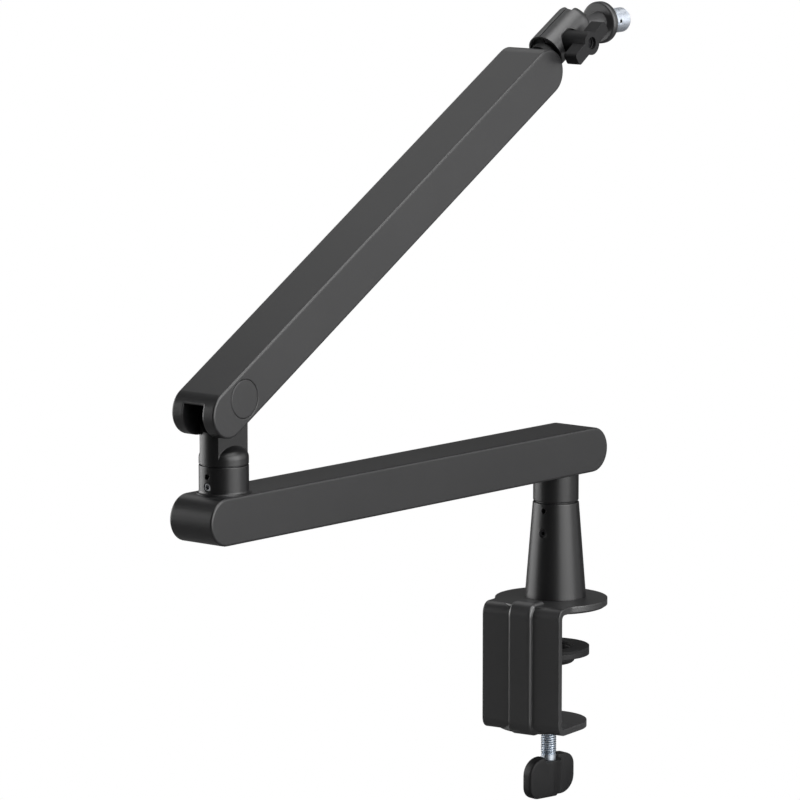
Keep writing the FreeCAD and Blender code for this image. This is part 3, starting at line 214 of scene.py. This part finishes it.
def turned_piece(name, rings, material, bored=False):
    """Skin the rings along Z; a bored piece closes on its first ring, and any other has two flat ends."""
    work = bmesh.new()
    loops = [[work.verts.new((r * math.cos(a), r * math.sin(a), height)) for r, a in zip(radii, angles)]
             for radii, height in rings]
    pairs = list(zip(loops, loops[1:]))
    if bored:
        pairs.append((loops[-1], loops[0]))
    else:
        work.faces.new(loops[0])
        work.faces.new(loops[-1])
    for low, high in pairs:
        for step in range(TURN_STEPS):
            following = (step + 1) % TURN_STEPS
            work.faces.new((low[step], low[following], high[following], high[step]))
    bmesh.ops.recalc_face_normals(work, faces=work.faces)
    mesh = bpy.data.meshes.new(name)
    work.to_mesh(mesh)
    work.free()
    mesh.polygons.foreach_set("use_smooth", [True] * len(mesh.polygons))
    mesh.set_sharp_from_angle(angle=CREASE)
    mesh.materials.append(material)
    piece = bpy.data.objects.new(name, mesh)
    scene_pieces.link(piece)
    return piece


# Bright zinc plate on rolled steel: a cool bluish white metal, with a darker copy painted into the thread
# roots as shade.
zinc = finish_material("bright_zinc_plate", ("#d3dbe4", "#e6ebf0"), (0.34, 0.42),
                       grain_mm=0.8, bump_mm=0.002, round_mm=0.05, Metallic=1.0)

# A darker, flatter copy of the zinc, painted into the thread's roots as shade that draws the turns.
zinc_with_painted_root_shade = finish_material("zinc_with_painted_shade_in_thread_roots", ("#98a3af", "#a9b3bd"), (0.45, 0.55),
                            grain_mm=0.8, bump_mm=0.002, round_mm=0.05, Metallic=1.0)
wear(zinc, "clamp_screw")
screw_low, screw_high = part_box("clamp_screw")
knob_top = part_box("clamp_knob")[1].z
clip_low, clip_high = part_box("plate_clip")
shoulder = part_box("pressure_plate")[0].z
neck_top = knob_top + NECK_HEIGHT
clamp_screw = turned_piece("clamp_screw_thread", [
    plain_ring(NECK_RADIUS, screw_low.z), plain_ring(NECK_RADIUS, neck_top),
    *thread_rings(SCREW_RADIUS, SCREW_PITCH, SCREW_DEPTH, neck_top, shoulder),
    plain_ring(JOURNAL_RADIUS, shoulder), plain_ring(JOURNAL_RADIUS, clip_low.z),
    plain_ring(GROOVE_RADIUS, clip_low.z), plain_ring(GROOVE_RADIUS, clip_high.z),
    plain_ring(JOURNAL_RADIUS, clip_high.z), plain_ring(JOURNAL_RADIUS, screw_high.z - JOURNAL_CHAMFER),
    plain_ring(JOURNAL_RADIUS - JOURNAL_CHAMFER, screw_high.z),
], zinc)
clamp_screw.data.materials.append(zinc_with_painted_root_shade)
# Faces deep in the thread's roots take the darker copy: painted shade, so that the turns show.
for face in clamp_screw.data.polygons:
    in_thread = neck_top < face.center.z < shoulder
    if in_thread and face.center.xy.length < SCREW_RADIUS - SCREW_DEPTH / 2:
        face.material_index = 1
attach(clamp_screw, "clamp_screw")
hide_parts("clamp_screw")


# Clamp knob: a grip moulded in ABS round the screw's end, with a round hub and two flat wings.
# The thumb's wing is flush with one side of the hub, and the finger's wing with the other and a little lower.

GRIP_REACH = 22.4 * MM
GRIP_THICKNESS = 8.0 * MM
THUMB_CORNERS = 11.5 * MM, 7.5 * MM
FINGER_CORNERS = 8.0 * MM, 11.5 * MM
FINGER_DROP = 1.3 * MM
CORNER_STEPS = 8
GRIP_EDGE = 1.5 * MM
HALFWAY_ROUND = 0.3 * GRIP_EDGE
HUB_RADIUS = 8.4 * MM
HUB_BULGE = 0.5 * MM
HUB_LIFT = 1.6 * MM
WING_LIFT = 1.9 * MM
WING_LAP = 1.6 * MM
HUB_NOTCH = 3.2 * MM
GRIP_TURN = math.radians(72.5)
SOCKET_CLEARANCE = 0.05 * MM

# Textured ABS: a matt, slightly grey black whose flats stay even.
abs_black = finish_material("textured_black_abs", ("#121213", "#161617"), (0.5, 0.6),
                            grain_mm=0.5, bump_mm=0.012, round_mm=0.6, Specular_IOR_Level=0.25)
wear(abs_black, "clamp_knob")
grip_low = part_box("clamp_knob")[0].z
quarter_turn = [math.pi / 2 * step / CORNER_STEPS for step in range(CORNER_STEPS + 1)]
wing_floor = grip_low + WING_LIFT
hub_floor = wing_floor + HUB_LIFT
notch = knob_top - HUB_NOTCH
knob_grip = turned_piece("clamp_knob_grip", [
    plain_ring(HUB_RADIUS - GRIP_EDGE, hub_floor),
    plain_ring(HUB_RADIUS - HALFWAY_ROUND, hub_floor + HALFWAY_ROUND),
    plain_ring(HUB_RADIUS, hub_floor + GRIP_EDGE),
    plain_ring(HUB_RADIUS, notch),
], abs_black)
socket_radius = SCREW_RADIUS + SOCKET_CLEARANCE
socket = turned_piece("knob_socket", [plain_ring(socket_radius, screw_low.z),
                                      plain_ring(socket_radius, knob_top)], abs_black)
joined = []
for side, (upper, lower), drop in ((-1, THUMB_CORNERS, 0.0), (1, FINGER_CORNERS, FINGER_DROP)):
    foot, top = wing_floor - drop, knob_top - drop
    wing_outline = [
        (-WING_LAP, foot),
        *((GRIP_REACH - lower * (1 - math.sin(a)), foot + lower * (1 - math.cos(a))) for a in quarter_turn),
        *((GRIP_REACH - upper * (1 - math.cos(a)), top - upper * (1 - math.sin(a))) for a in quarter_turn),
        (HUB_RADIUS, top), (HUB_RADIUS, notch), (-WING_LAP, notch),
    ]
    work = bmesh.new()
    front = side * (HUB_RADIUS - HUB_BULGE)
    rims = [[work.verts.new((side * reach, depth, height)) for reach, height in wing_outline]
            for depth in (front, front - side * GRIP_THICKNESS)]
    work.faces.new(rims[0])
    work.faces.new(rims[1])
    for step in range(len(wing_outline)):
        following = (step + 1) % len(wing_outline)
        work.faces.new((rims[0][step], rims[0][following], rims[1][following], rims[1][step]))
    bmesh.ops.recalc_face_normals(work, faces=work.faces)
    mesh = bpy.data.meshes.new("knob_wing")
    work.to_mesh(mesh)
    work.free()
    mesh.materials.append(abs_black)
    wing = bpy.data.objects.new("knob_wing", mesh)
    scene_pieces.link(wing)
    rounded = wing.modifiers.new("moulded_edge", "BEVEL")
    rounded.width = GRIP_EDGE
    rounded.segments = 4
    rounded.limit_method = "ANGLE"
    rounded.angle_limit = CREASE
    union = knob_grip.modifiers.new("wing", "BOOLEAN")
    union.operation = "UNION"
    union.object = wing
    joined.append(wing)
bored = knob_grip.modifiers.new("socket", "BOOLEAN")
bored.object = socket
shaped = knob_grip.evaluated_get(bpy.context.evaluated_depsgraph_get())
knob_grip.data = bpy.data.meshes.new_from_object(shaped)
knob_grip.modifiers.clear()
knob_grip.data.set_sharp_from_angle(angle=CREASE)
knob_grip.data.transform(Matrix.Rotation(GRIP_TURN, 4, "Z"))
for tool in (socket, *joined):
    bpy.data.objects.remove(tool)
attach(knob_grip, "clamp_screw")
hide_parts("clamp_knob")


# Turned pieces: riser, swivel post, elbow collar, neck, head spigot and stud.
# They are turned from aluminium and steel bar, blasted and coated.

# Smooth satin black: deep, with long clear bands of light down each cylinder.
turned_coat = finish_material("smooth_satin_black_on_turned_metal", ("#0a0a0b", "#0d0d0e"), (0.34, 0.4),
                              grain_mm=0.4, bump_mm=0.003, round_mm=0.4)
wear(turned_coat, "riser", "base_post", "elbow_collar", "elbow_neck")

# Bead-blasted black anodise: greyer and softer than the coat, so that cones and rims stay light.
blasted_anodise = finish_material("bead_blasted_black_anodise", ("#1d1d1e", "#222223"), (0.4, 0.48),
                                  grain_mm=0.4, bump_mm=0.006, round_mm=0.6, Specular_IOR_Level=0.8)
wear(blasted_anodise, "mic_stud")

# Blasted and blackened steel: matt and dark, with no band of light.
blasted_black = finish_material("blasted_black_steel", ("#0d0d0e", "#111112"), (0.6, 0.7),
                                grain_mm=0.4, bump_mm=0.01, round_mm=0.3, Specular_IOR_Level=0.3)
wear(blasted_black, "head_spigot")


# Arms: two hollow aluminium shells with half-round ends, and the flush caps over the lift pivot.
# The shells are cast and milled along their edges, then coated together with the caps.

# Fine powder coat: greyer than the clamp's, with a broad soft sheen and a bright line on each edge.
arm_coat = finish_material("fine_powder_coat_on_aluminium", ("#161617", "#1a1a1b"), (0.34, 0.4),
                           grain_mm=0.45, bump_mm=0.01, round_mm=1.25, Specular_IOR_Level=0.6)
wear(arm_coat, "lower_arm_shell", "upper_arm_shell", "pivot_cap_front", "pivot_cap_rear")


# Arm covers: long moulded strips that close the undersides of the arms.
# Two rails along each strip snap behind the ledges inside the shell.

# Moulded ABS: plain black, a little duller than the coat round it.
cover_abs = finish_material("moulded_black_cover_abs", ("#1f1f20", "#242425"), (0.5, 0.62),
                            grain_mm=0.6, bump_mm=0.02, round_mm=0.4)
wear(cover_abs, "lower_arm_cover", "upper_arm_cover")


# Split clamp of the head: two mirror halves moulded in glass-filled nylon.
# The head knob draws them together on the spigot and the ball.

# Glass-filled nylon: a smooth skin over the fibres, greyer and shinier than the knob.
filled_nylon = finish_material("glass_filled_nylon", ("#1b1b1c", "#1f1f20"), (0.36, 0.46),
                               grain_mm=0.5, bump_mm=0.012, round_mm=0.6, Specular_IOR_Level=0.8)
wear(filled_nylon, "head_clamp_front", "head_clamp_rear")


# Head knob: a wing knob moulded in the clamp knob's ABS round a threaded insert.
# It turns on the bolt across the split clamp and draws its halves together.

wear(abs_black, "head_knob")


# Thread adapter: a plated brass sleeve, 5/8 inch outside with 27 threads to the inch.
# It screws over the stud's smaller thread, and a small cross hole above its collar takes a tightening pin.

ADAPTER_PITCH = 25.4 / 27 * MM
ADAPTER_RADIUS = 7.9375 * MM
ADAPTER_DEPTH = THREAD_DEPTH_PER_PITCH * ADAPTER_PITCH
ADAPTER_COLLAR_RADIUS = 9.0 * MM
ADAPTER_COLLAR = 5.0 * MM
ADAPTER_BORE = 4.8625 * MM
ADAPTER_CHAMFER = 0.8 * MM
COLLAR_CHAMFER = ADAPTER_CHAMFER / 2
PIN_HOLE_RADIUS = 1.2 * MM
PIN_HOLE_PLACE = 9.6 * MM

# Satin nickel plate: a pale, slightly cool metal with soft reflections.
nickel = finish_material("satin_nickel_plate", ("#c8ced7", "#d8dde4"), (0.42, 0.5),
                         grain_mm=0.8, bump_mm=0.003, round_mm=0.15, Metallic=1.0)
wear(nickel, "thread_adapter")

# Bare brass in the drilled hole, where the plating doesn't reach, painted nearly black as the shade inside the
# hole.
brass_painted_as_hole_shade = finish_material("bare_brass_painted_as_hole_shade", ("#0d0c0a", "#15130f"), (0.6, 0.7),
                          grain_mm=0.4, bump_mm=0.004, round_mm=0.05)
joint = {entry["name"]: entry for entry in frame["joints"]}
thread_mount = next(entry for entry in frame["record"]["mounts"] if entry["name"] == "mic_thread")
adapter_axis = Vector(thread_mount["axis"])
thread_middle = Vector(thread_mount["pos_m"])
along = [(node["thread_adapter"].matrix_world @ vertex.co - thread_middle).dot(adapter_axis)
         for vertex in node["thread_adapter"].data.vertices]
adapter_length = max(along) - min(along)
adapter_foot = thread_middle + adapter_axis * min(along)
collar_edge = ADAPTER_COLLAR_RADIUS - COLLAR_CHAMFER
thread_end = adapter_length - ADAPTER_CHAMFER / 2
adapter = turned_piece("thread_adapter_sleeve", [
    plain_ring(ADAPTER_BORE, adapter_length), plain_ring(ADAPTER_BORE, 0), plain_ring(collar_edge, 0),
    plain_ring(ADAPTER_COLLAR_RADIUS, COLLAR_CHAMFER),
    plain_ring(ADAPTER_COLLAR_RADIUS, ADAPTER_COLLAR - COLLAR_CHAMFER),
    plain_ring(collar_edge, ADAPTER_COLLAR),
    *thread_rings(ADAPTER_RADIUS, ADAPTER_PITCH, ADAPTER_DEPTH, ADAPTER_COLLAR, thread_end),
    plain_ring(ADAPTER_RADIUS - ADAPTER_CHAMFER, adapter_length),
], nickel, bored=True)
pin_side = Vector(joint["ball_tilt"]["axis"])
adapter_turn = Matrix((adapter_axis.cross(pin_side), -pin_side, adapter_axis)).transposed()
adapter.matrix_world = Matrix.Translation(adapter_foot) @ adapter_turn.to_4x4()
pin = turned_piece("tightening_pin", [
    plain_ring(PIN_HOLE_RADIUS, ADAPTER_BORE),
    plain_ring(PIN_HOLE_RADIUS, ADAPTER_COLLAR_RADIUS + PIN_HOLE_RADIUS),
], nickel)
pin.matrix_world = (Matrix.Translation(adapter_foot + adapter_axis * PIN_HOLE_PLACE)
                    @ pin_side.to_track_quat("Z", "Y").to_matrix().to_4x4())
drilled = adapter.modifiers.new("pin_hole", "BOOLEAN")
drilled.object = pin
shaped = adapter.evaluated_get(bpy.context.evaluated_depsgraph_get())
adapter.data = bpy.data.meshes.new_from_object(shaped)
adapter.modifiers.clear()
adapter.data.transform(adapter.matrix_world)
adapter.matrix_world = Matrix()
adapter.data.materials.append(brass_painted_as_hole_shade)
# Faces inside the pin hole take the near-black brass: painted shade in the hole.
for face in adapter.data.polygons:
    inward = pin.matrix_world.inverted() @ face.center
    if inward.xy.length < PIN_HOLE_RADIUS and inward.z > ADAPTER_BORE - PIN_HOLE_RADIUS / 2:
        face.material_index = 1
bpy.data.objects.remove(pin)
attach(adapter, "mic_stud")
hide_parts("thread_adapter")


# Set screws: two in the riser and two in the elbow collar, each a grub screw with a hexagon socket.
# They press on the bushes, and their cup ends don't show.
# The lower one in the collar is plain steel, and the rest are black.

GRUB_CHAMFER = 0.3 * MM
SOCKET_SHARE = 0.55
BRIGHT_SCREW = "elbow_set_screws", "lower"

# Black oxide on steel: a dark metal with a faint oily gleam on its edges.
black_oxide = finish_material("black_oxide_steel", ("#2c2c2e", "#38383a"), (0.3, 0.42),
                              grain_mm=0.6, bump_mm=0.004, round_mm=0.15, Metallic=0.8)
wear(black_oxide, "riser_set_screws", "elbow_set_screws")

# Machined steel: a grey metal with fine tool marks.
machined_steel = finish_material("machined_steel", ("#8f9194", "#a6a8ab"), (0.28, 0.4),
                                 grain_mm=0.6, bump_mm=0.004, round_mm=0.15, Metallic=1.0)
hexagon = [1 / math.cos((angle + math.pi / 6) % (math.pi / 3) - math.pi / 6) for angle in angles]
arm_heading = Vector(joint["arm_lift"]["axis"]).cross(Vector((0, 0, 1)))
for screws, body, outward in (("riser_set_screws", "clamp", Vector((0, -1, 0))),
                              ("elbow_set_screws", "lower_arm", arm_heading)):
    corners = [node[screws].matrix_world @ vertex.co for vertex in node[screws].data.vertices]
    middle = (min(c.z for c in corners) + max(c.z for c in corners)) / 2
    for label, group in (("upper", [c for c in corners if c.z > middle]),
                         ("lower", [c for c in corners if c.z < middle])):
        low, high = min(c.z for c in group), max(c.z for c in group)
        radius = (high - low) / 2
        front, back = max(c.dot(outward) for c in group), min(c.dot(outward) for c in group)
        flats = [radius * SOCKET_SHARE * corner for corner in hexagon]
        screw = turned_piece(f"{screws}_{label}", [
            plain_ring(radius, back - front), plain_ring(radius, -GRUB_CHAMFER),
            plain_ring(radius - GRUB_CHAMFER, 0), (flats, 0), (flats, -radius),
        ], machined_steel if (screws, label) == BRIGHT_SCREW else black_oxide)
        place = sum(group, Vector()) / len(group)
        place += outward * (front - place.dot(outward))
        place.z = (low + high) / 2
        screw.matrix_world = Matrix.Translation(place) @ outward.to_track_quat("Z", "Y").to_matrix().to_4x4()
        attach(screw, body)
    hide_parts(screws)


# Inner pieces: bolts, clips, washers, springs and bushes inside the joints, of which little shows.
# The bolts and plates are the same steels as the set screws, and the rest are bronze or acetal.

wear(black_oxide, "riser_bolts", "base_joint_bolts", "elbow_joint_bolts", "head_clamp_bolt")
wear(machined_steel, "base_joint_plate", "elbow_joint_plate", "plate_clip", "neck_clip", "pivot_bolt",
     "pivot_nut", "disc_spring", "spigot_washer", "spigot_nut", "tilt_ball")

# Sintered bronze: a dull brown-gold, slightly porous.
bronze = finish_material("sintered_bronze", ("#8a6436", "#9c7542"), (0.4, 0.55),
                         grain_mm=0.5, bump_mm=0.01, round_mm=0.2, Metallic=1.0)
wear(bronze, "riser_bush", "elbow_bush", "head_knob_insert")

# Acetal: a waxy, even black.
acetal = finish_material("black_acetal_washer", ("#0f0f10", "#141415"), (0.4, 0.5),
                         grain_mm=0.5, bump_mm=0.008, round_mm=0.1)
wear(acetal, "base_thrust_washer", "elbow_thrust_washer", "friction_washers")


# Studio: a paper floor and backdrop, soft boxes on both sides and overhead, and a weak one at the back.
# The floor lies below the knob's lowest place. White shows to camera rays alone: reflections see a dim room,
# a little lighter toward the backdrop, because black coats lose their dark bands in a white one.

low_corner, high_corner = cad_box
centre = (Vector(low_corner) + Vector(high_corner)) / 2
CAMERA_PLACE = Vector((1.62148, -2.72403, 0.61289))
CAMERA_FORWARD = Vector((-0.5313, 0.8339, -0.1495))
FLOOR_SIZE = 30.0
FLOOR_DROP = 40 * MM
ROOM_GLOW = 0.02
BACKDROP_GLOW = 0.105
bpy.ops.mesh.primitive_plane_add(size=FLOOR_SIZE, location=(0, 0, low_corner[2] - FLOOR_DROP))
floor = bpy.context.object
floor.name = "studio_floor"
paper = bpy.data.materials.new("white_studio_paper")
paper.use_nodes = True
tree = paper.node_tree
tree.nodes.clear()
path = add(tree, "ShaderNodeLightPath")
matt = add(tree, "ShaderNodeBsdfDiffuse", color=linear("#767676"))
white = add(tree, "ShaderNodeEmission", color=linear("#ffffff"), strength=1.0)
blend = add(tree, "ShaderNodeMixShader",
            {0: path.outputs["Is Camera Ray"], 1: matt.outputs[0], 2: white.outputs[0]})
# From below, the paper is clear, so that it doesn't hide the object.
under = add(tree, "ShaderNodeNewGeometry")
clear = add(tree, "ShaderNodeBsdfTransparent")
one_sided = add(tree, "ShaderNodeMixShader",
                {0: under.outputs["Backfacing"], 1: blend.outputs[0], 2: clear.outputs[0]})
add(tree, "ShaderNodeOutputMaterial", {"Surface": one_sided.outputs[0]})
floor.data.materials.append(paper)

scene = bpy.context.scene
scene.view_settings.view_transform = "Standard"
world = bpy.data.worlds.new("studio_surround")
scene.world = world
world.use_nodes = True
tree = world.node_tree
tree.nodes.clear()
path = add(tree, "ShaderNodeLightPath")
look = add(tree, "ShaderNodeTexCoord")
toward_backdrop = add(tree, "ShaderNodeVectorMath", {0: look.outputs["Generated"]}, operation="DOT_PRODUCT")
toward_backdrop.inputs[1].default_value = Vector((CAMERA_FORWARD.x, CAMERA_FORWARD.y, 0)).normalized()
glow = add(tree, "ShaderNodeMapRange", {"Value": toward_backdrop.outputs["Value"]},
           from_min=-0.1, from_max=0.7, to_min=ROOM_GLOW, to_max=BACKDROP_GLOW)
surround = add(tree, "ShaderNodeBackground", {"Strength": glow.outputs["Result"]}, color=linear("#ffffff"))
bright = add(tree, "ShaderNodeBackground", color=linear("#ffffff"), strength=1.0)
blend = add(tree, "ShaderNodeMixShader",
            {0: path.outputs["Is Camera Ray"], 1: surround.outputs[0], 2: bright.outputs[0]})
add(tree, "ShaderNodeOutputWorld", {"Surface": blend.outputs[0]})

to_camera = math.atan2(-CAMERA_FORWARD.y, -CAMERA_FORWARD.x)


def soft_box(name, turn_deg, lift_deg, distance, width, height, watts):
    """A rectangular soft box round the object, turned from the camera's side and aimed at the object."""
    lamp = bpy.data.lights.new(name, "AREA")
    lamp.shape = "RECTANGLE"
    lamp.size = width
    lamp.size_y = height
    lamp.energy = watts
    holder = bpy.data.objects.new(name, lamp)
    scene_pieces.link(holder)
    turn = to_camera + math.radians(turn_deg)
    lift = math.radians(lift_deg)
    outward = Vector((math.cos(turn) * math.cos(lift), math.sin(turn) * math.cos(lift), math.sin(lift)))
    holder.location = centre + outward * distance
    holder.rotation_euler = (-outward).to_track_quat("-Z", "Y").to_euler()
    holder.visible_camera = False


soft_box("soft_box_right", 48, 10, 1.7, 1.96, 1.8, 48)
soft_box("soft_box_side", 80, 10, 1.9, 2.97, 2.2, 25)
soft_box("soft_box_left", -112, 4, 1.6, 1.4, 1.1, 23)
soft_box("soft_box_top", 40, 72, 1.9, 1.6, 1.6, 36)
soft_box("soft_box_back", -163, 46, 1.9, 1.1, 1.1, 3)

# A long lens from well back, a little above the arms.
camera = bpy.data.cameras.new("photo_camera")
camera.sensor_width = 36.0
camera.lens = 225.0
camera.clip_end = 100.0
eye = bpy.data.objects.new("photo_camera", camera)
scene_pieces.link(eye)
eye.location = CAMERA_PLACE
eye.rotation_euler = CAMERA_FORWARD.to_track_quat("-Z", "Y").to_euler()
scene.camera = eye
